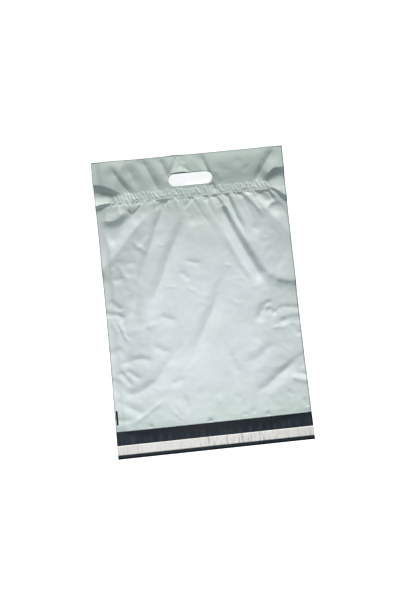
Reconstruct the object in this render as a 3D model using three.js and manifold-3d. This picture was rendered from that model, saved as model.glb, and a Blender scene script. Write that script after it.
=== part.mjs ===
// Poly mailer bag with a die-cut hand slot, lying on its back ply as it comes to rest.
// Units are millimetres, +Z is up, +Y runs from the lip towards the handle,
// and the origin is the middle of the bag on the surface that it lies on.
//
// One web of two-layer film is folded over at the handle end. Its two plies are joined by a
// weld down each side and by a gathered seal across the bag below the hand slot. The front
// ply stops at the mouth, and the back ply runs on as the closing lip, which carries a band
// of adhesive under a release liner.

import * as THREE from 'three';
import { mergeVertices } from 'three/addons/utils/BufferGeometryUtils.js';
import Module from 'manifold-3d';

// Film web
const bagWidth = 380;
const frontLength = 528;
const lipLength = 52;
const filmThickness = 0.1;

// Side welds, where the two plies are pressed into one
const sideWeldWidth = 8;
const weldPress = 0.02;

// Gathered seal across the bag, and the ribs that it draws the film into
const handleDepth = 65;
const sealWidth = 17;
const ribPitch = 6.3;
const ribRise = 1.3;
const ribSlant = 7;
const ribFade = 45;
const puckerLength = 9;

// Hand slot through both plies
const slotLength = 87;
const slotWidth = 24;
const slotFromFold = 36;
const slotOffset = 1;

// Adhesive band and its release liner on the lip
const linerWidth = 18;
const linerFromEdge = 7.5;
const linerThickness = 0.08;
const linerPitch = 7;
const linerRipple = 0.35;
const adhesiveWidth = 14;
const adhesiveThickness = 0.06;

// How far the gathers of the seal hold both plies off the table, there and in the handle
const sealLift = 2.5;
const handleLift = 5;
const foldedEdgeLift = 3.5;
const liftSpan = 20;

// How far the front ply stands off the back ply
const pocketRise = 12.5;
const mouthRise = 7;
const handleRise = 2.4;
const foldedEdgeRise = 0.7;
const leastRise = 0.5;
const sideSpan = 90;
const sealSpan = 110;
const mouthSpan = 130;
const handleSpan = 24;

// Folds of the front ply: how wide they are, how high, and how soon they die out at a weld
const sharpFold = 7;
const softFold = 11;
const broadFold = 16;
const foldRise = 3;
const foldFade = 20;

// Spacing of the facets, how much they favour the line of a fold, and the reach of a cutter
const panelStep = 8.9;
const rowStep = 11.5;
const handleStep = 8.5;
const foldBias = 6;
const cutterReach = 60;

// Places along the bag
const halfWidth = bagWidth / 2;
const lipEdgeY = -(frontLength + lipLength) / 2;
const mouthY = lipEdgeY + lipLength;
const foldY = mouthY + frontLength;
const sealTopY = foldY - handleDepth;
const sealLowY = sealTopY - sealWidth;
const weldedX = halfWidth - sideWeldWidth;
const linerMidY = lipEdgeY + linerFromEdge + linerWidth / 2;

// A fold line of the pocket. Its points are shares of the half width and of the way from the
// mouth to the seal, each with the rise there as a share of foldRise: above the panel for a
// ridge and below for a valley.
const pocketFolds = [
  // main crease that runs down from the seal at the right
  {
    points: [[0.23, 1, -2.1], [0.33, 0.9, -2.2], [0.4, 0.8, -2.2], [0.51, 0.7, -1.9], [0.61, 0.61, -2.1],
      [0.79, 0.56, 0]],
    width: softFold,
  },
  { points: [[0.28, 0.88, 0], [0.32, 0.81, 0.7], [0.35, 0.74, 0]], width: sharpFold },
  { points: [[0.73, 0.62, 0], [0.8, 0.59, -0.8], [1, 0.56, -0.8]], width: softFold },
  // creases that fan out from the seal at the right
  { points: [[0.37, 1, -1.1], [0.43, 0.92, -1.4], [0.49, 0.84, -1.1], [0.55, 0.77, 0]], width: sharpFold },
  { points: [[0.52, 1, -1.1], [0.59, 0.94, -1.6], [0.67, 0.89, -1.2], [0.75, 0.84, 0]], width: softFold },
  { points: [[0.59, 0.98, 0], [0.71, 0.92, 1], [0.84, 0.87, 0.8], [0.95, 0.8, 0]], width: broadFold },
  { points: [[0.66, 1, -1], [0.73, 0.97, -1.3], [0.8, 0.95, 0]], width: sharpFold },
  { points: [[0.77, 1, -0.9], [0.83, 0.94, -1.1], [0.94, 0.91, 0]], width: sharpFold },
  { points: [[0.86, 1, -0.9], [1, 0.95, -1.3]], width: sharpFold },
  // creases that fan out from the seal at the left
  { points: [[-0.94, 0.86, 0], [-0.79, 0.89, -1.8], [-0.65, 0.93, -1.6], [-0.54, 0.98, 0]], width: broadFold },
  { points: [[-0.84, 0.74, 0], [-0.62, 0.87, 1.6], [-0.49, 0.92, 1.3], [-0.37, 0.98, 0]], width: broadFold },
  {
    points: [[-0.79, 0.4, 0], [-0.71, 0.52, -1.2], [-0.61, 0.65, -1.5], [-0.5, 0.76, -1.4],
      [-0.39, 0.88, -1.2], [-0.27, 0.99, -1.1]],
    width: softFold,
  },
  {
    points: [[-0.63, 0.41, 0], [-0.53, 0.52, -1.1], [-0.42, 0.62, -1.9], [-0.3, 0.73, -2.1],
      [-0.18, 0.83, -2.1], [-0.08, 0.94, 0]],
    width: softFold,
  },
  { points: [[-0.41, 0.95, 0], [-0.32, 0.98, -0.7], [-0.22, 1, 0]], width: sharpFold },
  // crumples at the right edge
  { points: [[0.54, 0.41, 0], [0.59, 0.45, -0.8], [0.65, 0.49, 0]], width: softFold },
  { points: [[0.76, 0.4, 0], [0.88, 0.41, -0.7], [1, 0.41, -0.7]], width: sharpFold },
  // crumples at the left edge
  { points: [[-1, 0.52, -0.6], [-0.89, 0.51, -0.7], [-0.79, 0.49, 0]], width: sharpFold },
  { points: [[-0.96, 0.57, 0], [-0.89, 0.55, -0.6], [-0.82, 0.52, 0]], width: sharpFold },
  // long crease down the middle
  {
    points: [[-0.19, 0.24, 0], [-0.09, 0.34, -1.4], [0.03, 0.43, -1.6], [0.15, 0.54, -1.3], [0.25, 0.64, 0]],
    width: softFold,
  },
  // sagging folds at the lower left
  { points: [[-0.88, 0.28, 0], [-0.78, 0.3, -0.7], [-0.65, 0.3, -0.7], [-0.54, 0.28, 0]], width: softFold },
  {
    points: [[-1, 0.22, -0.9], [-0.84, 0.16, -1], [-0.63, 0.18, -1], [-0.47, 0.24, -1.1],
      [-0.33, 0.32, -0.8], [-0.15, 0.37, 0]],
    width: softFold,
  },
  // sagging folds at the lower right
  { points: [[0.41, 0.1, 0], [0.57, 0.14, -0.9], [0.86, 0.22, -1.1], [1, 0.25, -1.2]], width: softFold },
  { points: [[0.31, 0.25, 0], [0.5, 0.26, -0.6], [0.77, 0.32, 0]], width: softFold },
  { points: [[0.82, 0.17, 0], [0.92, 0.15, 0.7], [1, 0.14, 0.7]], width: sharpFold },
];

// A fold line of the handle, with shares of the half width and of the way from the seal to
// the folded edge.
const handleFolds = [
  { points: [[-0.83, 0.88, 0], [-0.77, 0.58, -0.6], [-0.71, 0.28, -0.6], [-0.65, 0, 0]], width: softFold },
  { points: [[-0.64, 0.85, 0], [-0.59, 0.52, -0.6], [-0.57, 0.2, 0]], width: softFold },
  { points: [[-0.48, 1, 0], [-0.43, 0.68, -0.6], [-0.38, 0.35, -0.6], [-0.34, 0, 0]], width: softFold },
  { points: [[-0.3, 1, 0], [-0.26, 0.71, -0.6], [-0.23, 0.4, -0.6]], width: sharpFold },
  // the front ply turned up at the slot's corner
  { points: [[-0.11, 0.75, 0], [-0.09, 0.48, 1.6]], width: sharpFold },
  { points: [[0.13, 1, -0.6], [0.16, 0.75, -0.6], [0.2, 0.46, 0]], width: sharpFold },
  { points: [[0.68, 0, 0], [0.74, 0.3, -0.6], [0.81, 0.59, -0.6], [0.9, 0.83, 0]], width: softFold },
];

const clamp01 = (value) => THREE.MathUtils.clamp(value, 0, 1);

// Quarter-wave rise from 0 at a weld to 1 once span is passed
const easeUp = (distance, span) => Math.sin((Math.PI / 2) * clamp01(distance / span));

// Fold lines as points in millimetres, between two places along the bag
function placeFolds(folds, fromY, toY) {
  return folds.map(({ points, width }) => ({
    line: points.map(([across, along]) => new THREE.Vector3(
      across * halfWidth,
      THREE.MathUtils.lerp(fromY, toY, along),
      0,
    )),
    rises: points.map(([, , rise]) => rise * foldRise),
    width,
  }));
}

const placedPocketFolds = placeFolds(pocketFolds, mouthY, sealLowY);
const placedHandleFolds = placeFolds(handleFolds, sealTopY, foldY);

// Sum of the folds at a point: each is crisp along its line and runs out softly
function foldHeight(folds, x, y) {
  const here = new THREE.Vector3(x, y, 0);
  const foot = new THREE.Vector3();
  const piece = new THREE.Line3();
  let height = 0;
  for (const { line, rises, width } of folds) {
    let nearest = Infinity;
    let rise = 0;
    for (let i = 1; i < line.length; i += 1) {
      piece.set(line[i - 1], line[i]);
      const share = piece.closestPointToPointParameter(here, true);
      const distance = piece.at(share, foot).distanceTo(here);
      if (distance < nearest) {
        nearest = distance;
        rise = THREE.MathUtils.lerp(rises[i - 1], rises[i], share);
      }
    }
    height += rise * Math.exp(-((nearest / width) ** 1.4));
  }
  return height;
}

// Ribs of the gathered seal, which both plies share. Each rib leans, and they differ in height.
const ribLean = (y) => ribSlant * ((y - sealLowY) / sealWidth);

function ribHeight(x, y) {
  const outside = Math.max(sealLowY - y, y - sealTopY, 0);
  const phase = (x + ribLean(y)) / ribPitch;
  const toothed = 1 - 2 * Math.abs(phase - Math.floor(phase) - 0.5);
  const uneven = 0.75 + 0.25 * Math.sin(2.4 * Math.floor(phase));
  const atSides = clamp01((weldedX - Math.abs(x)) / ribFade);
  return ribRise * toothed * uneven * atSides * clamp01(1 - outside / puckerLength);
}

// How far both plies stand off the table
function liftAt(y) {
  if (y < sealTopY) return sealLift * clamp01((y - sealLowY + liftSpan) / liftSpan);
  const upper = Math.min((y - sealTopY) / liftSpan, 1);
  const outer = clamp01((y - foldY + liftSpan) / liftSpan);
  return THREE.MathUtils.lerp(sealLift, handleLift, upper) - (handleLift - foldedEdgeLift) * outer;
}

// How far the plies stand apart: nothing in a weld
function plyGap(x, y) {
  const fromWeld = Math.max(weldedX - Math.abs(x), 0);
  if (y > sealTopY) {
    const fromSeal = y - sealTopY;
    const swell = THREE.MathUtils.lerp(foldedEdgeRise, handleRise, easeUp(foldY - y, handleSpan));
    const folds = foldHeight(placedHandleFolds, x, y) * clamp01(fromSeal / foldFade);
    const atEdge = THREE.MathUtils.lerp(0.5, 1, clamp01((foldY - y) / foldFade));
    const rise = swell * easeUp(fromSeal, handleSpan) + folds * atEdge;
    return Math.max(rise, leastRise) * clamp01(Math.min(fromSeal, fromWeld) / foldFade);
  }
  const fromSeal = Math.max(sealLowY - y, 0);
  const swell = THREE.MathUtils.lerp(mouthRise, pocketRise, easeUp(y - mouthY, mouthSpan));
  const puffed = swell * easeUp(fromWeld, sideSpan) * easeUp(fromSeal, sealSpan);
  const folds = foldHeight(placedPocketFolds, x, y) * clamp01((y - mouthY) / foldFade);
  const rise = puffed + folds - liftAt(y);
  return Math.max(rise, leastRise) * clamp01(Math.min(fromSeal, fromWeld) / foldFade);
}

const backAt = (x, y) => ribHeight(x, y) + liftAt(y);
const frontAt = (x, y) => backAt(x, y) + 2 * filmThickness - weldPress + plyGap(x, y);

// Evenly spaced stations from one value to another, no further apart than step
function stations(from, to, step) {
  const count = Math.max(1, Math.ceil((to - from) / step - 1e-6));
  return Array.from({ length: count + 1 }, (_, i) => THREE.MathUtils.lerp(from, to, i / count));
}

// Places across the bag for the facets of the panels
const panelColumns = [-halfWidth, ...stations(-weldedX, weldedX, panelStep), halfWidth];

// Places across the bag that follow the crests and troughs of the leaning ribs
function ribColumns(y) {
  const count = Math.floor((weldedX - ribSlant) / (ribPitch / 2));
  const crests = Array.from({ length: 2 * count + 1 }, (_, i) => (i - count) * (ribPitch / 2));
  return [-halfWidth, -weldedX, ...crests.map((x) => x - ribLean(y)), weldedX, halfWidth];
}

const edgeColumns = [-halfWidth, halfWidth];
const bodyRows = stations(mouthY + rowStep / 2, sealLowY - puckerLength, rowStep);
const handleRows = stations(sealTopY + puckerLength, foldY, handleStep);

// Rows along the bag, each with its own places across. Flat stretches need only their two
// edges, and every surface has the same places next to the ribs, so that none cross there.
function filmRows(plainColumns, lastY) {
  const plain = (y) => ({ y, columns: plainColumns });
  const full = (y) => ({ y, columns: panelColumns });
  const ribbed = (y) => ({ y, columns: ribColumns(y) });
  const lower = [lipEdgeY, ...bodyRows.slice(0, -1)].map(plain);
  const upper = [...handleRows.slice(1, -1), lastY].map(plain);
  const seal = [sealLowY, sealTopY].map(ribbed);
  return [...lower, full(bodyRows.at(-1)), ...seal, full(handleRows[0]), ...upper];
}

// A surface of the film as rows of points, with the height that it follows
const surface = (rows, heightAt) => ({
  heightAt,
  rows: rows.map(({ y, columns }) => columns.map((x) => new THREE.Vector3(x, y, heightAt(x, y)))),
});

// Triangles between two runs of points along an axis, which may differ in number. Of the two
// ways to go on, it takes the one that is shorter and keeps nearer to the surface's height.
function stitch(lower, upper, axis, heightAt = null) {
  const cost = (a, b) => {
    const middle = a.clone().lerp(b, 0.5);
    const off = heightAt ? Math.abs(middle.z - heightAt(middle.x, middle.y)) : 0;
    return Math.abs(a[axis] - b[axis]) + foldBias * off;
  };
  const triangles = [];
  let i = 0;
  let j = 0;
  while (i < lower.length - 1 || j < upper.length - 1) {
    const lowerLeft = i < lower.length - 1;
    const upperLeft = j < upper.length - 1;
    if (lowerLeft && (!upperLeft || cost(lower[i + 1], upper[j]) <= cost(lower[i], upper[j + 1]))) {
      triangles.push(lower[i], lower[i + 1], upper[j]);
      i += 1;
    } else {
      triangles.push(lower[i], upper[j + 1], upper[j]);
      j += 1;
    }
  }
  return triangles;
}

// All the triangles of a surface, facing up
const sheet = ({ rows, heightAt }) =>
  rows.slice(1).flatMap((row, i) => stitch(rows[i], row, 'x', heightAt));

// Closed solid between a top and a bottom surface over the same outline
function loftBetween(top, bottom) {
  const side = ({ rows }, index) => rows.map((row) => row.at(index));
  const facing = [
    ...sheet(top),
    ...stitch(bottom.rows[0], top.rows[0], 'x'),
    ...stitch(side(bottom, -1), side(top, -1), 'y'),
  ];
  const turned = [
    ...sheet(bottom),
    ...stitch(bottom.rows.at(-1), top.rows.at(-1), 'x'),
    ...stitch(side(bottom, 0), side(top, 0), 'y'),
  ];
  return new THREE.BufferGeometry().setFromPoints([...facing, ...turned.reverse()]);
}

const wasm = await Module();
wasm.setup();

function toSolid(geometry) {
  const bare = new THREE.BufferGeometry();
  const source = geometry.index ? geometry.toNonIndexed() : geometry;
  bare.setAttribute('position', source.getAttribute('position').clone());
  const merged = mergeVertices(bare, 1e-5);
  return new wasm.Manifold(new wasm.Mesh({
    numProp: 3,
    vertProperties: new Float32Array(merged.attributes.position.array),
    triVerts: new Uint32Array(merged.index.array),
  }));
}

function toGeometry(solid) {
  const { vertProperties, triVerts } = solid.getMesh();
  const geometry = new THREE.BufferGeometry();
  geometry.setAttribute('position', new THREE.BufferAttribute(vertProperties, 3));
  geometry.setIndex(new THREE.BufferAttribute(triVerts, 1));
  geometry.computeVertexNormals();
  return geometry;
}

// The space between the plies: over the back ply and under the front one
function plySpace() {
  const panel = filmRows(panelColumns, foldY);
  const flat = filmRows(edgeColumns, foldY - filmThickness);
  const underFront = loftBetween(
    surface(panel, (x, y) => frontAt(x, y) - filmThickness),
    surface(filmRows(edgeColumns, foldY), () => -cutterReach),
  );
  const overBack = loftBetween(
    surface(flat, () => cutterReach),
    surface(flat, (x, y) => backAt(x, y) + filmThickness),
  );
  return toSolid(underFront).intersect(toSolid(overBack));
}

// What the front ply leaves free over the lip
function lipSpace() {
  const reach = lipLength + rowStep;
  const space = new THREE.BoxGeometry(bagWidth + rowStep, reach, cutterReach);
  space.translate(0, mouthY - reach / 2, filmThickness + cutterReach / 2);
  return toSolid(space);
}

function handSlot() {
  const end = slotLength / 2 - slotWidth / 2;
  const outline = new THREE.Shape();
  outline.absarc(end, 0, slotWidth / 2, -Math.PI / 2, Math.PI / 2, false);
  outline.absarc(-end, 0, slotWidth / 2, Math.PI / 2, (3 * Math.PI) / 2, false);
  outline.closePath();
  const cutter = new THREE.ExtrudeGeometry(outline, {
    depth: 2 * cutterReach,
    bevelEnabled: false,
    curveSegments: 9,
  });
  cutter.translate(slotOffset, foldY - slotFromFold - slotWidth / 2, -cutterReach);
  return toSolid(cutter);
}

function filmBag() {
  const web = loftBetween(
    surface(filmRows(panelColumns, foldY), frontAt),
    surface(filmRows(edgeColumns, foldY), backAt),
  );
  return toSolid(web).subtract(plySpace()).subtract(lipSpace()).subtract(handSlot());
}

// A strip across the lip, from edge to edge of the film
function adhesiveStrip() {
  const strip = new THREE.BoxGeometry(bagWidth, adhesiveWidth, adhesiveThickness);
  strip.translate(0, linerMidY, filmThickness + adhesiveThickness / 2);
  return strip;
}

// Liner with fine crosswise puckers, strongest right of the middle
function releaseLiner() {
  const columns = stations(-halfWidth, halfWidth, linerPitch / 2);
  const rows = [-0.5, 0.5].map((side) => ({ y: linerMidY + side * linerWidth, columns }));
  const under = (x) => {
    const crest = Math.round((x + halfWidth) / (linerPitch / 2)) % 2;
    const strength = 0.25 + 0.75 * Math.exp(-(((x - 0.2 * halfWidth) / (0.4 * halfWidth)) ** 2));
    return filmThickness + adhesiveThickness + linerRipple * crest * strength;
  };
  return loftBetween(surface(rows, (x) => under(x) + linerThickness), surface(rows, under));
}

const silverFilm = new THREE.MeshStandardMaterial({ color: 0xc6cfcb, roughness: 0.42, metalness: 0.2 });
const hotMelt = new THREE.MeshStandardMaterial({ color: 0xd9cfa8, roughness: 0.3, metalness: 0 });
const linerPaper = new THREE.MeshStandardMaterial({ color: 0xe8e4e1, roughness: 0.6, metalness: 0 });

function addPiece(group, name, geometry, material) {
  const mesh = new THREE.Mesh(geometry, material);
  mesh.name = name;
  group.add(mesh);
}

const mailerBag = new THREE.Group();
addPiece(mailerBag, 'film_bag', toGeometry(filmBag()), silverFilm);
addPiece(mailerBag, 'adhesive_strip', adhesiveStrip(), hotMelt);
addPiece(mailerBag, 'release_liner', toGeometry(toSolid(releaseLiner())), linerPaper);

export default mailerBag;
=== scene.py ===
"""Poly mailer bag lying on its back ply: the finished film, adhesive, liner and stage."""

import math

import bmesh
import bpy
import numpy as np
from bpy.props import FloatProperty, FloatVectorProperty, IntProperty, PointerProperty
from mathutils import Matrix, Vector


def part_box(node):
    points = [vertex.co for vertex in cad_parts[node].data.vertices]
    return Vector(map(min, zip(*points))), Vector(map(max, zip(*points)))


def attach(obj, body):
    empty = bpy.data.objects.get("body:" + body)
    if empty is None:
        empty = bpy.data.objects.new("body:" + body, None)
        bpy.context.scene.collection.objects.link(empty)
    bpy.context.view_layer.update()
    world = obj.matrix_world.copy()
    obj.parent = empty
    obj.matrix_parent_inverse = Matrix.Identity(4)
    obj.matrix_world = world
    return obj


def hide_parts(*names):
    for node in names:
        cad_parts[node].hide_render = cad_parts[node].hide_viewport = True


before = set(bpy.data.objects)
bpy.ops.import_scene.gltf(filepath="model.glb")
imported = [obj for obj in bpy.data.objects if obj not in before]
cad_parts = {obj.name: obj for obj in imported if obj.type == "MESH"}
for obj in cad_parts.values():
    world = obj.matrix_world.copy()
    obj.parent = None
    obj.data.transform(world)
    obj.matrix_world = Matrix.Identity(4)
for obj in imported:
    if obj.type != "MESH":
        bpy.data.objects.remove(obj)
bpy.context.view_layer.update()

BAG_LOW, BAG_HIGH = (Vector(corner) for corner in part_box("film_bag"))
STRIP_LOW, STRIP_HIGH = (Vector(corner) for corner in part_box("adhesive_strip"))
LINER_LOW, LINER_HIGH = (Vector(corner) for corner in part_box("release_liner"))
LIP_Y = BAG_LOW.y
FOLD_Y = BAG_HIGH.y
HALF_WIDTH = (BAG_HIGH.x - BAG_LOW.x) / 2

MM = 0.001
LINER_THICKNESS = 0.08 * MM
CAMERA_PLACE = (-0.0530, -0.1488, 1.5530)

bl_info = {
    "name": "Poly Mailer Bag",
    "version": (1, 0, 0),
    "blender": (4, 5, 0),
    "location": "View3D > Sidebar > Mailer",
    "description": "Folded film mailing bag with a hand slot, a gathered seal and a lined lip",
    "category": "Add Mesh",
}


# Sizes and colours


class MailerFilm(bpy.types.PropertyGroup):
    thickness: FloatProperty(
        name="Film thickness", description="One ply of the film", default=0.1 * MM, unit="LENGTH"
    )
    lip_length: FloatProperty(
        name="Lip", description="Back ply past the mouth", default=52 * MM, unit="LENGTH"
    )
    side_weld: FloatProperty(
        name="Side weld", description="Width of a side weld", default=8 * MM, unit="LENGTH"
    )
    handle_depth: FloatProperty(
        name="Handle depth", description="Folded edge to the seal", default=67 * MM, unit="LENGTH"
    )
    seal_width: FloatProperty(
        name="Seal", description="Width of the gathered seal", default=17 * MM, unit="LENGTH"
    )
    pocket_rise: FloatProperty(
        name="Pocket rise", description="Front ply over the back ply", default=12.5 * MM, unit="LENGTH"
    )
    mouth_rise: FloatProperty(
        name="Mouth rise", description="The same, at the mouth", default=7 * MM, unit="LENGTH"
    )
    handle_rise: FloatProperty(
        name="Handle rise", description="The same, round the hand slot", default=1.6 * MM, unit="LENGTH"
    )
    side_draw: FloatProperty(
        name="Side draw", description="How far slack draws each side in", default=2.5 * MM, unit="LENGTH"
    )


class MailerSeal(bpy.types.PropertyGroup):
    rib_pitch: FloatProperty(
        name="Rib pitch", description="From rib to rib", default=7.6 * MM, unit="LENGTH"
    )
    rib_rise: FloatProperty(
        name="Rib rise", description="Height of the ribs", default=0.85 * MM, unit="LENGTH"
    )
    rib_slant: FloatProperty(
        name="Rib slant", description="Sideways run of a rib", default=6 * MM, unit="LENGTH"
    )
    slot_length: FloatProperty(
        name="Slot length", description="Hand slot, end to end", default=87 * MM, unit="LENGTH"
    )
    slot_width: FloatProperty(
        name="Slot width", description="Hand slot, across", default=23.4 * MM, unit="LENGTH"
    )
    slot_from_fold: FloatProperty(
        name="Slot from fold", description="Folded edge to the slot", default=37.4 * MM, unit="LENGTH"
    )
    slot_offset: FloatProperty(
        name="Slot offset", description="Slot's middle from the bag's", default=2.4 * MM, unit="LENGTH"
    )


class MailerMesh(bpy.types.PropertyGroup):
    pocket_columns: IntProperty(
        name="Pocket columns", description="Faces across the pocket and the back ply", default=170
    )
    handle_columns: IntProperty(
        name="Handle columns", description="Faces across the handle ply", default=340
    )
    liner_columns: IntProperty(
        name="Liner columns", description="Faces across the liner", default=600
    )


class MailerLook(bpy.types.PropertyGroup):
    # Painted sheen: the bluer silver stands for a cool sheen in the middle of the pocket, and the
    # greener silver is the film toward the sides, the handle and the mouth.
    silver: FloatVectorProperty(
        name="Silver film", description="Outside of the film", subtype="COLOR",
        default=(0.622, 0.645, 0.661),
    )
    silver_green: FloatVectorProperty(
        name="Silver film, greener", description="Its second tint", subtype="COLOR",
        default=(0.583, 0.65, 0.607),
    )
    black: FloatVectorProperty(
        name="Black film", description="Inside of the film", subtype="COLOR",
        default=(0.0085, 0.0125, 0.0185),
    )
    register_mark: FloatVectorProperty(
        name="Register mark", description="Printed bar at the edge", subtype="COLOR",
        default=(0.006, 0.009, 0.014),
    )
    liner: FloatVectorProperty(
        name="Liner", description="Release liner", subtype="COLOR",
        default=(0.735, 0.70, 0.67),
    )
    adhesive: FloatVectorProperty(
        name="Adhesive", description="Adhesive strip", subtype="COLOR",
        default=(0.72, 0.64, 0.42),
    )


class MailerStage(bpy.types.PropertyGroup):
    key_strength: FloatProperty(
        name="Key light", description="Low light from beyond the handle", default=5.45
    )
    top_power: FloatProperty(
        name="Top light", description="Soft light over the pocket", default=1.28, unit="POWER"
    )
    sky_strength: FloatProperty(
        name="Sky", description="Even light from all round", default=0.11
    )
    camera_height: FloatProperty(
        name="Camera height", description="Over the surface",
        default=CAMERA_PLACE[2], unit="LENGTH"
    )


# Folds of the film. Points are millimetres from the middle and up from the lip's edge, from
# left to right. Then come the rise and the reach above the line and below it, as a pair
# where they change from its first end to its last, and the shares of its length over which
# the fold sets in and dies out, where they aren't the usual ones.

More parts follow.
